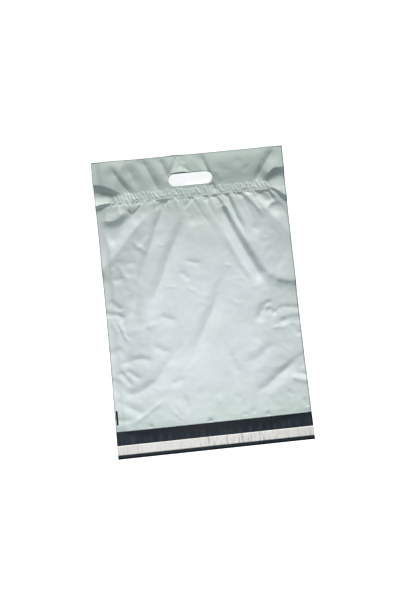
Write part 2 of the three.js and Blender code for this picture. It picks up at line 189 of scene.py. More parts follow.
POCKET_FOLDS = [
    # main crease that runs down from the seal at the right, and the fold beside it
    ([(54, 480), (61, 463), (69, 443), (78, 421), (87, 400), (96, 380), (106, 360),
      (115, 340), (122, 323), (127, 307)],
     (-2.6, -3.6), (6, 12), (12, 24), 0.14, 0.18),
    ([(46, 499), (51, 490), (57, 481), (62, 471)], -1.5, 4, 10, 0.1, 0.25),
    ([(51, 498), (57, 488), (63, 477), (71, 461), (79, 441), (88, 421), (98, 400), (108, 381),
      (118, 361), (128, 343), (138, 329), (150, 320), (166, 314), (194, 309)],
     (1.6, 3.3), (8, 45), (3, 14), 0.14, 0.0),
    ([(54, 447), (60, 420), (70, 390), (84, 358), (99, 328), (112, 298)], 1.4, 12, 6),
    # creases that fan out from the seal at the right
    ([(70, 497), (75, 481), (82, 462), (87, 446), (93, 430), (98, 412), (104, 394)],
     (-2.2, -4.2), (3.5, 8), (5, 11), 0.0, 0.55),
    ([(103, 499), (111, 487), (121, 474), (133, 458), (147, 441)], (1.0, 1.5), 9, (3.0, 6), 0.25, 0.4),
    ([(112, 492), (126, 477), (140, 462), (154, 447), (168, 430), (182, 412), (196, 394),
      (212, 374)], (1.2, 2.2), (14, 18), (34, 50), 0.3, 0.0),
    ([(109, 427), (120, 420), (133, 414)], -0.5, 8, 8, 0.4, 0.4),
    ([(92, 497), (97, 491), (103, 484)], -0.7, 2.6, 6, 0.2, 0.4),
    ([(128, 499), (139, 489), (149, 480), (161, 470)], (-2.4, -3.0), (4, 5.5), (9, 11), 0.3, 0.35),
    ([(149, 499), (155, 489), (161, 479), (168, 469)], (-1.6, -2.0), (3, 4.5), 6, 0.15, 0.35),
    ([(157, 470), (164, 464), (172, 461), (182, 465)], -2.4, 8, 14, 0.4, 0.4),
    # creases that fan out at the left
    ([(-129, 485), (-124, 477), (-119, 473), (-111, 479), (-101, 490)], -0.8, 1.4, 3, 0.15, 0.15),
    ([(-178, 437), (-165, 440), (-153, 446), (-143, 453), (-133, 461), (-122, 469), (-112, 477),
      (-102, 488)], (-4.6, -2.4), (15, 7), (20, 10), 0.16, 0.3),
    ([(-190, 467), (-174, 464), (-158, 463), (-144, 468), (-130, 482)], (0.8, 2.4), 11, 9, 0.3, 0.25),
    ([(-202, 358), (-180, 377), (-162, 394), (-144, 412), (-126, 433), (-110, 449), (-94, 464),
      (-78, 482)], (3.0, 2.2), (22, 15), (20, 12), 0.1, 0.3),
    ([(-151, 232), (-143, 257), (-136, 281), (-129, 305), (-121, 329), (-110, 358), (-99, 385),
      (-89, 407), (-81, 425), (-74, 445), (-62, 470), (-52, 495)],
     (-3.6, -2.2), (13, 5), (14, 5), 0.3, 0.0),
    ([(-76, 474), (-66, 484), (-56, 492), (-42, 497)], -1.0, 5, 5, 0.35, 0.2),
    ([(-120, 236), (-110, 261), (-99, 289), (-88, 314), (-74, 340), (-65, 360), (-58, 376),
      (-50, 394), (-42, 410), (-33, 428), (-24, 448), (-15, 472)],
     (-3.4, -4.6), (14, 8), (14, 10), 0.35, 0.35),
    ([(-17, 472), (-8, 483), (2, 495)], -0.8, 4, 4.5, 0.5, 0.2),
    ([(-6, 436), (2, 455), (10, 474)], -0.6, 8, 24, 0.45, 0.4),
    ([(22, 484), (30, 489), (36, 496)], -0.6, 4, 4, 0.4, 0.2),
    # small crossed creases
    ([(-120, 401), (-111, 404), (-105, 400), (-99, 390)], 0.7, 4, 4.5),
    ([(-127, 425), (-119, 413), (-111, 404)], 0.5, 4, 4, 0.4, 0.1),
    ([(-109, 404), (-101, 414), (-93, 428)], 0.4, 5, 4, 0.1, 0.4),
    ([(-77, 405), (-69, 406), (-62, 402)], 0.4, 3.5, 3.5),
    # crumples at the left edge
    ([(-173, 367), (-165, 376), (-156, 387)], -0.5, 3, 4, 0.4, 0.4),
    ([(-143, 377), (-131, 376), (-120, 378)], -0.5, 5, 5),
    ([(-160, 380), (-152, 363), (-145, 351), (-136, 342)], 0.6, 5, 4),
    ([(-174, 347), (-160, 345), (-148, 349)], -0.8, 6, 5),
    ([(-155, 338), (-147, 338)], -0.4, 3, 3, 0.4, 0.4),
    ([(-182, 308), (-172, 299), (-164, 291), (-156, 286)], -1.2, 4, 6, 0.2, 0.3),
    ([(-191, 283), (-180, 280), (-170, 279), (-161, 274), (-149, 270)], -1.5, 3.6, 4.5, 0.0, 0.25),
    ([(-168, 284), (-156, 284), (-146, 287)], 0.4, 3, 3),
    ([(-165, 268), (-159, 267), (-153, 269)], -0.5, 3, 3),
    ([(-168, 266), (-162, 250), (-157, 238), (-150, 223)], 1.1, 4, 3, 0.2, 0.3),
    ([(-182, 270), (-174, 252), (-167, 237)], 0.6, 4, 4),
    ([(-161, 246), (-155, 238), (-149, 229)], -0.7, 3, 2.6),
    ([(-194, 203), (-176, 207), (-159, 212)], -1.0, 7, 9, 0.0, 0.35),
    # creases at the right edge
    ([(139, 330), (148, 318), (157, 311), (168, 308), (192, 303)], -0.9, 6, 9, 0.2, 0.0),
    ([(112, 273), (121, 269), (129, 273), (140, 271)], -1.0, 4, 5.5, 0.25, 0.25),
    ([(126, 263), (134, 257), (145, 249)], -1.3, 4.5, 7, 0.25, 0.25),
    ([(144, 254), (152, 260), (162, 262), (175, 260), (192, 257)], -1.0, 4.5, 6, 0.2, 0.0),
    ([(103, 233), (112, 252), (123, 269)], -1.6, 8, 9, 0.4, 0.3),
    ([(145, 232), (156, 235), (168, 237), (192, 236)], -1.3, 6, 7, 0.25, 0.0),
    ([(129, 219), (142, 224), (155, 223), (167, 227)], 0.6, 3.5, 3.5),
    ([(171, 230), (178, 214), (187, 204)], -1.2, 5, 4, 0.3, 0.1),
    # long crease down the middle and the small ones beside it
    ([(-37, 158), (-31, 180), (-20, 200), (-8, 220), (2, 240), (14, 260), (24, 280), (31, 298),
      (38, 316), (48, 337), (57, 354)], (-2.2, -3.4), (12, 11), (16, 13), 0.4, 0.45),
    ([(-27, 371), (-14, 367), (-4, 364), (9, 364)], -0.8, 4, 6, 0.3, 0.25),
    ([(-41, 350), (-32, 345), (-26, 339), (-20, 330)], -0.8, 5, 6),
    ([(-74, 322), (-62, 323), (-52, 321), (-43, 318)], 0.4, 3, 3.5),
    ([(-28, 318), (-16, 311), (-5, 308)], 0.45, 3, 3.5),
    ([(-89, 266), (-75, 263), (-62, 258), (-49, 256)], -0.9, 6, 9, 0.3, 0.35),
    ([(-113, 244), (-101, 251), (-91, 258)], 0.8, 6, 5, 0.3, 0.4),
    ([(-104, 213), (-90, 203), (-78, 198), (-65, 197)], -0.7, 7, 7),
    ([(50, 357), (58, 354), (67, 349)], 0.4, 3, 3.5),
    ([(61, 328), (75, 326), (91, 323)], 0.3, 3, 3.5),
    ([(52, 300), (58, 286), (69, 278), (86, 275)], 0.35, 4, 4),
    ([(-16, 302), (5, 299), (27, 292)], 0.18, 3, 3),
    ([(-20, 287), (0, 284), (22, 279)], 0.18, 3, 3),
    # sagging folds at the lower left
    ([(-167, 177), (-152, 185), (-136, 189), (-120, 187), (-103, 179)], -1.0, 5.5, 10, 0.25, 0.25),
    ([(-164, 179), (-156, 190), (-148, 201)], -0.7, 3, 4, 0.2, 0.4),
    ([(-173, 169), (-164, 157), (-156, 146), (-148, 135)], -1.1, 3.4, 6, 0.1, 0.4),
    ([(-164, 169), (-152, 164), (-143, 156), (-129, 149)], -0.9, 5, 5, 0.2, 0.35),
    ([(-194, 149), (-180, 142), (-172, 133), (-163, 126), (-152, 123), (-138, 126), (-122, 133),
      (-106, 143), (-94, 154), (-84, 168), (-72, 183), (-58, 199), (-44, 209), (-28, 217)],
     (-1.5, -1.8), (8, 11), (11, 14), 0.0, 0.4),
    ([(-94, 157), (-80, 167), (-60, 166)], 0.4, 7, 9, 0.4, 0.4),
    ([(-182, 118), (-168, 104), (-154, 95), (-142, 87), (-128, 84)], -1.0, 7, 8, 0.15, 0.3),
    ([(-194, 78), (-174, 74), (-148, 75)], -0.8, 6, 7, 0.0, 0.4),
    ([(-156, 65), (-140, 76), (-125, 85), (-108, 96), (-89, 110)], 0.7, 3.6, 4.5, 0.2, 0.3),
    ([(-81, 87), (-70, 77), (-59, 63)], 0.4, 3, 3),
    ([(-78, 134), (-62, 138), (-45, 144)], -0.7, 6, 8, 0.3, 0.35),
    # sagging folds at the lower right
    ([(78, 97), (100, 108), (118, 120), (135, 132), (150, 141), (166, 150), (194, 162)],
     (-1.4, -2.3), (8, 7), (14, 12), 0.3, 0.0),
    ([(58, 163), (80, 164), (95, 167), (107, 175), (120, 186), (147, 194)], -0.7, 10, 13),
    ([(74, 183), (88, 182), (100, 188), (111, 200)], 0.5, 13, 9),
    ([(156, 127), (169, 121), (194, 113)], 1.0, 6, 5, 0.3, 0.0),
    ([(166, 134), (180, 130), (194, 124)], -0.8, 5, 4, 0.3, 0.0),
    ([(150, 104), (150, 97), (157, 92), (166, 95)], -0.4, 3, 3),
    ([(178, 84), (184, 64)], -0.8, 4, 4, 0.3, 0.1),
    ([(44, 186), (50, 162), (54, 140)], -0.8, 6, 6, 0.3, 0.2),
    # faint upright waves over the mouth
    ([(-68, 107), (-60, 68)], 0.5, 4, 4, 0.4, 0.4),
    ([(-52, 114), (-47, 74)], -0.8, 6, 5, 0.4, 0.4),
    ([(10, 107), (19, 86)], 0.3, 4, 5, 0.4, 0.4),
    ([(44, 105), (56, 88)], -0.3, 5, 5, 0.4, 0.4),
    # hem over the mouth
    ([(-175, 67), (-60, 67), (60, 67), (175, 67)], 0.12, 4, 5, 0.05, 0.05),
    ([(-128, 60), (-122, 58), (-116, 60)], -0.6, 4, 4, 0.4, 0.4),
    ([(-14, 59), (-7, 57), (0, 59)], -0.9, 5, 4, 0.4, 0.4),
    ([(55, 65), (61, 64), (67, 65)], -0.4, 4, 4, 0.4, 0.4),
    ([(76, 74), (80, 62)], -0.4, 5, 5, 0.4, 0.4),
    ([(99, 61), (105, 59), (111, 62)], -0.6, 5, 4, 0.4, 0.4),
]

HANDLE_FOLDS = [
    ([(-157, 574), (-149, 560), (-141, 545), (-131, 530), (-120, 516), (-110, 500)],
     (-2.0, -1.5), (6, 7), (16, 20)),
    ([(-124, 574), (-116, 558), (-109, 540), (-103, 520)], -1.7, 13, 11, 0.4, 0.4),
    ([(-91, 584), (-83, 564), (-76, 547), (-69, 530), (-62, 514), (-56, 500)],
     (-1.8, -1.4), (9, 6), (12, 9), 0.05, 0.4),
    ([(-57, 584), (-50, 563), (-43, 543)], -1.5, 7, 8, 0.1, 0.0),
    ([(43, 522), (48, 511), (53, 501)], -1.2, 3, 7, 0.3, 0.4),
    ([(26, 584), (31, 566), (36, 552), (41, 538)], -1.4, (7, 3), (14, 3), 0.0, 0.0),
    ([(91, 564), (99, 559), (107, 563)], -0.35, 8, 8, 0.4, 0.4),
    ([(121, 500), (129, 514), (138, 528), (147, 541), (156, 554), (165, 567), (175, 582)],
     (-1.8, -2.2), (6, 8), (13, 13), 0.4, 0.3),
    ([(108, 533), (114, 544), (126, 545)], -0.4, 5, 6, 0.4, 0.4),
    ([(50, 548), (70, 545), (90, 538)], -0.5, 9, 9, 0.4, 0.4),
    ([(47, 546), (58, 536), (63, 520)], 0.4, 6, 6),
]

# Slack of the front ply alone, over the hand slot
SLOT_FOLDS = [
    ([(-39, 543), (-31, 560), (-22, 578)], -0.8, 2.6, 3, 0.05, 0.15),
    ([(-20, 565), (-11, 557), (-1, 547)], -1.0, 3, 12, 0.25, 0.0),
    ([(-20, 590), (-13, 576), (-9, 560)], -0.7, 6, 9, 0.0, 0.3),
]

# Dents right under the seam: place along it, half width and length, in millimetres
SEAM_DENTS = [
    (-163, 3, 8), (-152, 4, 9), (-141, 3, 9), (-128, 2.5, 8), (-117, 3, 9), (-104, 8, 10),
    (-84, 4, 9), (-65, 4, 9), (-56, 8, 13), (-38, 4, 9), (-17, 5, 9), (-2, 5, 9), (22, 4, 9),
    (31, 6, 12), (46, 4, 8), (61, 3, 8), (74, 3, 8), (86, 3, 8), (95, 4, 8), (112, 3, 8),
]

# Where both plies lift off the table together at the ends of the seal
EDGE_LIFTS = [
    ([(-214, 540), (-185, 537), (-172, 533), (-160, 528), (-149, 522), (-131, 513)],
     (4.2, 2.8), (160, 10), (11, 4), 0.0, 0.3),
    ([(-196, 494), (-184, 496), (-170, 498), (-154, 500)], (3.4, 1.4), 11, (5, 1.6), 0.0, 0.35),
    ([(145, 515), (154, 525), (164, 534), (175, 538), (214, 539)],
     (3.2, 3.2), (6, 45), (4, 16), 0.26, 0.0),
    ([(140, 598), (165, 592), (214, 590)], 2.4, 8, 42, 0.3, 0.0),
    ([(148, 502), (160, 500), (170, 495), (181, 486), (198, 474)],
     (1.4, 3.0), (14, 24), (3, 4), 0.4, 0.0),
]

# All rises are multiplied by this
FOLD_DEPTH = 1.5
USUAL_FADES = (0.3, 0.3)

# A fold's flank and its foot, as so many times its reach
FLANK = 1.5
FOOT = 3.6

# The camera sees the standing film this much farther up the bag than it lies
SEEN_SHIFT = 2 * MM


def smooth_line(points, steps=5):
    """A Catmull-Rom line through the listed points, in metres from the bag's middle."""
    marks = [Vector((x * MM, LIP_Y + up * MM - SEEN_SHIFT)) for x, up in points]
    marks = [2 * marks[0] - marks[1], *marks, 2 * marks[-1] - marks[-2]]
    line = []
    for before, start, end, after in zip(marks, marks[1:], marks[2:], marks[3:]):
        bend = 2 * before - 5 * start + 4 * end - after
        swing = 3 * start - before - 3 * end + after
        for t in (step / steps for step in range(steps)):
            line.append(0.5 * (2 * start + (end - before) * t + bend * t**2 + swing * t**3))
    line.append(marks[-2])
    return line


def smoothstep(low, high, value):
    t = np.clip((value - low) / (high - low), 0, 1)
    return t * t * (3 - 2 * t)


def bell(distance, width):
    """1 at the place itself, and less on both sides of it."""
    return np.exp(-((distance / width) ** 2))


def ease_up(distance, span):
    """Quarter-wave rise from 0 at a weld to 1 once the span is passed."""
    return np.sin(np.pi / 2 * np.clip(distance / span, 0, 1))


def changing(value, along):
    """A value that is the same all along a fold, or a pair that runs from end to end."""
    first, last = value if isinstance(value, tuple) else (value, value)
    return first + (last - first) * along


def fold_height(x, y, fold):
    """Height of one fold: crisp along its line, with its own reach on either side."""
    points, rise, above, below, *fades = fold
    sets_in, dies_out = fades or USUAL_FADES
    line = smooth_line(points)
    reach = FOOT * np.max(np.hstack([above, below])) * MM
    xs, ys = [p.x for p in line], [p.y for p in line]
    near = (x > min(xs) - reach) & (x < max(xs) + reach)
    near &= (y > min(ys) - reach) & (y < max(ys) + reach)
    height = np.zeros_like(x)
    px, py = x[near], y[near]
    best = np.full(px.shape, np.inf)
    along, side = np.zeros_like(px), np.ones_like(px)
    total = sum((b - a).length for a, b in zip(line, line[1:]))
    run = 0.0
    for a, b in zip(line, line[1:]):
        step = b - a
        share = np.clip(((px - a.x) * step.x + (py - a.y) * step.y) / step.length_squared, 0, 1)
        off_x, off_y = px - a.x - share * step.x, py - a.y - share * step.y
        distance = np.hypot(off_x, off_y)
        nearer = distance < best
        best = np.where(nearer, distance, best)
        along = np.where(nearer, (run + share * step.length) / total, along)
        side = np.where(nearer, step.x * off_y - step.y * off_x, side)
        run += step.length
    width = np.where(side > 0, changing(above, along), changing(below, along)) * MM
    fade = np.ones_like(px)
    if sets_in:
        fade *= smoothstep(0, sets_in, along)
    if dies_out:
        fade *= smoothstep(0, dies_out, 1 - along)
    height[near] = changing(rise, along) * MM * fade * fold_section(best / width)
    return height


def fold_section(reach):
    """Section of a fold: flat sides that meet in a crisp line and run out softly."""
    flank = 1 - reach / FLANK
    flat = 0.5 * (flank + np.sqrt(flank**2 + 0.02)) * (1 - smoothstep(2.2, FOOT, reach))
    return 0.6 * flat + 0.4 * np.exp(-(reach**1.4))


def soft_floor(height, corner=1.6 * MM):
    """Keeps a film off the one under it, without a hard corner where they touch."""
    return 0.5 * (height + np.sqrt(height**2 + corner**2))


def folds_height(x, y, folds):
    return FOLD_DEPTH * sum((fold_height(x, y, fold) for fold in folds), np.zeros_like(x))


def soft_noise(x, y, cell, seed):
    """Smooth noise between about -1 and 1, with features one cell wide, in millimetres."""
    angles = np.random.RandomState(seed).uniform(0, 2 * np.pi, (128, 128))
    u, v = x / (cell * MM) + 64, y / (cell * MM) + 64
    i, j = np.floor(u).astype(int), np.floor(v).astype(int)
    fu, fv = u - i, v - j

    def corner(di, dj):
        angle = angles[(i + di) % 128, (j + dj) % 128]
        return np.cos(angle) * (fu - di) + np.sin(angle) * (fv - dj)

    su = fu**3 * (fu * (fu * 6 - 15) + 10)
    sv = fv**3 * (fv * (fv * 6 - 15) + 10)
    low = corner(0, 0) * (1 - su) + corner(1, 0) * su
    high = corner(0, 1) * (1 - su) + corner(1, 1) * su
    return 1.4 * (low * (1 - sv) + high * sv)


# Shape of the bag

# Stretches that need closer rows: over the seal and at the folded edge
NEAR_SEAL = 58 * MM
EDGE_ROLL = 2 * MM

# Height of the seal over the table, of the pocket right below it, and the slot flap's own rise
SEAL_LIFT = 3 * MM
POCKET_HANGS = 2.6 * MM
SLOT_FLAP = 2.8 * MM

# Pitch, rise and reach of the puckers under the seal in millimetres, and a seed
PUCKERS = ((7, 2.2, 8, 11), (14, 1.2, 20, 12), (29, 1.3, 55, 13))


class Layout:
    """Where the seams of the bag lie, from the sizes that the panel shows."""

    def __init__(self, scene):
        film, seal = scene.mailer_film, scene.mailer_seal
        self.film, self.seal = film, seal
        self.mouth = LIP_Y + film.lip_length
        self.seal_top = FOLD_Y - film.handle_depth
        self.seal_low = self.seal_top - film.seal_width
        self.welded = HALF_WIDTH - film.side_weld
        self.slot_y = FOLD_Y - seal.slot_from_fold - seal.slot_width / 2
        self.slot_x = seal.slot_offset
        self.slot_radius = seal.slot_width / 2
        self.slot_straight = seal.slot_length / 2 - self.slot_radius

    def slot_distance(self, x, y):
        """Distance outside the hand slot's edge, negative inside it."""
        along = np.maximum(np.abs(x - self.slot_x) - self.slot_straight, 0)
        return np.hypot(along, y - self.slot_y) - self.slot_radius

    def seal_ribs(self, x, y):
        """Leaning ribs that the seal draws into both plies."""
        lean = self.seal.rib_slant * (y - self.seal_low) / self.film.seal_width
        seam = x + lean
        wander = 6 * MM * soft_noise(seam, y * 0.5, 17, 5)
        crest = np.sin(np.pi * (seam + wander) / self.seal.rib_pitch) ** 2
        uneven = np.clip(0.6 + 1.1 * soft_noise(seam, y * 0.6, 10, 6), 0.05, 1.7)
        crumple = 0.5 * np.abs(soft_noise(seam, y, 6, 7))
        ragged = y - self.seal_top + 3 * MM * soft_noise(x, 0 * x, 14, 8)
        run = smoothstep(0.5 * MM, 4 * MM, y - self.seal_low)
        run *= 1 - smoothstep(-2 * MM, 3 * MM, ragged)
        sides = smoothstep(0, 45 * MM, self.welded - np.abs(x))
        return self.seal.rib_rise * (crest * uneven + crumple) * sides * run

    def back_height(self, x, y):
        """Outer face of the back ply over the table."""
        lifts = folds_height(x, y, EDGE_LIFTS)
        ripple = 0.5 * MM * (0.5 + 0.5 * soft_noise(x, y, 60, 3))
        inside = smoothstep(0, 40 * MM, np.minimum(HALF_WIDTH - np.abs(x), y - LIP_Y))
        handle = folds_height(x, y, HANDLE_FOLDS) * smoothstep(0, 4 * MM, y - self.seal_low)
        handle *= 0.2 + 0.8 * smoothstep(0, 16 * MM, FOLD_Y - y)
        near_seal = smoothstep(-40 * MM, 0, y - self.seal_low)
        held = self.seal_lift(x, y) + lifts + handle + self.edge_waves(x, y)
        return self.seal_ribs(x, y) + soft_floor(held, 1.6 * MM * near_seal) + ripple * inside

    def edge_share(self, x):
        """How much of a fold the back ply takes part in: all of it at the side welds."""
        return 1 - smoothstep(4 * MM, 34 * MM, HALF_WIDTH - np.abs(x))

    def edge_waves(self, x, y):
        """Folds of the pocket that run out over a side weld and carry both plies."""
        folds = folds_height(x, y, POCKET_FOLDS) + 1.2 * MM
        along = smoothstep(0, 16 * MM, y - self.mouth) * smoothstep(0, 8 * MM, self.seal_low - y)
        return folds * self.edge_share(x) * along

    def seal_lift(self, x, y):
        """How far the gathered seal holds both plies off the table."""
        from_seal = y - self.seal_top
        lift = SEAL_LIFT * smoothstep(-9 * MM, 0, y - self.seal_low)
        lift += 0.055 * soft_floor(from_seal - 3 * MM, 6 * MM)
        lift += 0.35 * MM * smoothstep(-1 * MM, 4 * MM, from_seal)
        lift -= 0.11 * soft_floor(from_seal - 52 * MM, 12 * MM)
        return lift * self.held_sides(x)

    def held_sides(self, x):
        """The side welds keep the ends of the seal low."""
        return 0.3 + 0.7 * smoothstep(0, 45 * MM, HALF_WIDTH - np.abs(x))

    def slot_flap(self, x, y):
        """The corner of the front ply that stands up over the hand slot."""
        down = np.clip((LIP_Y + 564 * MM - y) / (20 * MM), 0, 1)
        across = np.abs(x + 17 * MM) / ((4 + 18 * down) * MM)
        return SLOT_FLAP * down * (1 - smoothstep(0.5, 1, across)) * (y > self.slot_y)

    def gathers(self, x, down):
        """Puckers that run out of the gathered seam: the fine ones die out first."""
        seam = x - 0.5 * down * np.tanh((x + 60 * MM) / (60 * MM))
        height = np.zeros_like(x)
        for pitch, rise, reach, seed in PUCKERS:
            phase = seam / (pitch * MM) + 0.8 * soft_noise(seam, down * 0.2, 2.1 * pitch, seed)
            strength = 0.7 + 0.6 * soft_noise(seam, down, 3 * pitch, seed + 20)
            crest = np.abs(np.sin(np.pi * phase)) ** 0.9 - 0.6
            grown = down / (reach * MM)
            height += rise * MM * crest * strength * np.minimum(1, 8 * grown) * np.exp(-grown)
        return height

    def skin(self, x, y):
        """Slack of thin film: long soft waves and faint crumples."""
        waves = 0.9 * soft_noise(x, y, 85, 31) + 0.45 * soft_noise(x, y, 38, 32)
        crumple = 0.25 * MM * (1 - 2 * np.abs(soft_noise(x, y, 24, 33)))
        sides = smoothstep(80 * MM, 150 * MM, np.abs(x))
        sides *= 1 - smoothstep(390 * MM, 440 * MM, y - LIP_Y)
        crinkle = 1 - 2 * np.abs(soft_noise(x + 0.3 * y, y - 0.2 * x, 21, 34))
        return waves * MM + crumple + 0.25 * MM * sides * crinkle

    def pocket_gap(self, x, y):
        """How far the front ply stands over the back ply in the pocket."""
        film = self.film
        from_weld = np.maximum(self.welded - np.abs(x), 0)
        from_seal = np.maximum(self.seal_low - y, 0)
        from_mouth = np.maximum(y - self.mouth, 0)
        swell = ease_up(from_mouth, 200 * MM)
        swell = film.mouth_rise + (film.pocket_rise - film.mouth_rise) * swell
        sides = 0.3 * ease_up(from_weld, 90 * MM) + 0.7 * smoothstep(0, 100 * MM, from_weld)
        hung = POCKET_HANGS * self.held_sides(x)
        level = hung + (swell * sides - hung) * smoothstep(0, 240 * MM, from_seal)
        folds = folds_height(x, y, POCKET_FOLDS) * (1 - self.edge_share(x))
        slack = self.gathers(x, from_seal) + self.skin(x, y)
        slack *= smoothstep(0, 14 * MM, from_weld)
        corner = (0.7 + 0.9 * smoothstep(0, 25 * MM, from_seal)) * MM
        rise = soft_floor(level - self.seal_lift(x, y) + folds + slack, corner)
        rise *= smoothstep(0, 12 * MM, from_weld) * smoothstep(-0.5 * MM, 4 * MM, from_seal)
        return rise - np.minimum(self.seam_dents(x, from_seal), 0.8 * rise)

    def seam_dents(self, x, down):
        """Short dents that the weld draws into the pocket right under the seam."""
        depth = np.zeros_like(x)
        for place, half, run in SEAM_DENTS:
            fall = 2.2 * down / (run * MM)
            across = np.exp(-(((x / MM - place) / half) ** 4))
            depth += 0.055 * run * MM * across * fall * np.exp(1 - fall)
        return depth

    def handle_gap(self, x, y):
        """The same between the seal and the folded edge."""
        from_weld = np.maximum(self.welded - np.abs(x), 0)
        from_seal = np.maximum(y - self.seal_top, 0)
        from_fold = np.maximum(FOLD_Y - y, 0)
        least = 0.8 * MM
        swell = least + (self.film.handle_rise - least) * ease_up(from_fold, 24 * MM)
        folds = folds_height(x, y, SLOT_FOLDS) + self.slot_flap(x, y) + 0.3 * self.skin(x, y)
        rise = soft_floor(swell + folds)
        ends = smoothstep(0, 12 * MM, from_weld) * smoothstep(0, 34 * MM, from_seal)
        return rise * ends * np.sqrt(np.clip(from_fold / (1.2 * MM), 0, 1))

    def front_height(self, x, y):
        """Outer face of the front ply over the table."""
        gap = np.where(y < self.seal_low, self.pocket_gap(x, y), self.handle_gap(x, y))
        bead = 0.2 * MM * bell(y - self.seal_low - 0.6 * MM, MM)
        return self.back_height(x, y) + 3.5 * self.film.thickness + gap + bead + self.hem(x, y)

    def hem(self, x, y):
        """The mouth's cut edge turns down a little, under a row of dents."""
        up = (y - self.mouth) / MM
        dents = np.clip(0.15 + 1.2 * soft_noise(x, 0 * x, 7, 51), 0, 0.8)
        return MM * (-0.3 * np.exp(-up / 2.5) - 0.35 * dents * bell(up - 3.2, 1.6))


# Modelling


def new_object(name, data):
    thing = bpy.data.objects.new(name, data)
    bpy.context.scene.collection.objects.link(thing)
    return thing


def new_piece(name, sheet, materials):
    """A finished object from a bmesh, with its materials."""
    mesh = bpy.data.meshes.new(name)
    sheet.to_mesh(mesh)
    sheet.free()
    for material in materials:
        mesh.materials.append(material)
    return new_object(name, mesh)


def stations(*stretches):
    """Places along a line, from (start, end, count) stretches that follow each other."""
    places = [np.linspace(start, end, count, endpoint=False) for start, end, count in stretches]
    return np.append(np.concatenate(places), stretches[-1][1])


def across_bag(count):
    """Places from side to side, for so many faces."""
    return np.linspace(-HALF_WIDTH, HALF_WIDTH, count + 1)


def pocket_rows(layout):
    """Rows of the pocket, closer together at the mouth and at the seal."""
    near_seal = layout.seal_low - NEAR_SEAL
    return [
        (layout.mouth, layout.mouth + 12 * MM, 12),
        (layout.mouth + 12 * MM, near_seal, 165),
        (near_seal, layout.seal_low - 6 * MM, 22),
        (layout.seal_low - 6 * MM, layout.seal_low, 5),
    ]


def film_grid(x_places, y_places):
    """A bmesh grid whose rows and columns lie at the given places."""
    columns, rows = len(x_places) - 1, len(y_places) - 1
    sheet = bmesh.new()
    bmesh.ops.create_grid(sheet, x_segments=columns, y_segments=rows, size=0.5)
    for vert in sheet.verts:
        column, row = round((vert.co.x + 0.5) * columns), round((vert.co.y + 0.5) * rows)
        vert.co = (x_places[column], y_places[row], 0)
    return sheet


def refine(sheet, from_y):
    """Halves the faces of a flat grid beyond a place along the bag."""
    edges = [
        edge for edge in sheet.edges if min(vert.co.y for vert in edge.verts) > from_y - 0.01 * MM
    ]
    bmesh.ops.subdivide_edges(sheet, edges=edges, cuts=1, use_grid_fill=True)


def punch_slot(sheet, layout):
    """Cuts the hand slot out of a flat grid and draws its edge to the slot's outline."""
    inside = [
        face for face in sheet.faces
        if layout.slot_distance(*face.calc_center_median().xy) < 0
    ]
    bmesh.ops.delete(sheet, geom=inside, context="FACES")
    for vert in sheet.verts:
        off = layout.slot_distance(vert.co.x, vert.co.y)
        if vert.is_boundary and abs(off) < 3 * MM:
            middle_x = layout.slot_x + np.clip(
                vert.co.x - layout.slot_x, -layout.slot_straight, layout.slot_straight
            )
            away = Vector((vert.co.x - middle_x, vert.co.y - layout.slot_y, 0))
            vert.co = Vector((middle_x, layout.slot_y, 0)) + away.normalized() * layout.slot_radius


def raise_sheet(sheet, height_at):
    """Lifts each point of a flat sheet to its height, and draws the sides in."""
    places = np.array([vert.co[:] for vert in sheet.verts])
    draw = bpy.context.scene.mailer_film.side_draw / HALF_WIDTH
    for vert, height in zip(sheet.verts, height_at(places[:, 0], places[:, 1])):
        vert.co.z = height
        vert.co.x *= 1 - draw * math.sin(math.pi * (vert.co.y - LIP_Y) / (FOLD_Y - LIP_Y))


def finish_sheet(name, sheet, thickness, materials):
    """A smooth sheet with thickness under it, and a finish for each face it is given."""
    for face in sheet.faces:
        face.smooth = True
    piece = new_piece(name, sheet, materials)
    solid = piece.modifiers.new("Thickness", "SOLIDIFY")
    solid.thickness = thickness
    solid.offset = -1
    solid.material_offset = len(materials) - 1
    return piece


def finish_film(name, sheet, layout):
    """Makes a sheet into a ply of the bag, silver outside and black inside."""
    piece = finish_sheet(name, sheet, layout.film.thickness, film_materials(layout))
    place_piece(piece, "film_bag")


def place_piece(piece, node):
    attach(piece, "root")
    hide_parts(node)


# Materials

# From where to where the register mark lies
MARK_X = (-187.7 * MM, -183.8 * MM)
MARK_Y = (LIP_Y + 65 * MM, LIP_Y + 92.5 * MM)

# Lines of shade along the cut sides and the folded edge: axis, from, to and share of black
DARK_LINES = (
    ("x", -HALF_WIDTH - 5 * MM, 1.3 * MM - HALF_WIDTH, 0.3),
    ("x", HALF_WIDTH - 2.8 * MM, HALF_WIDTH - 0.4 * MM, 0.42),
    ("y", FOLD_Y - 2.4 * MM, FOLD_Y + 5 * MM, 0.6),
)


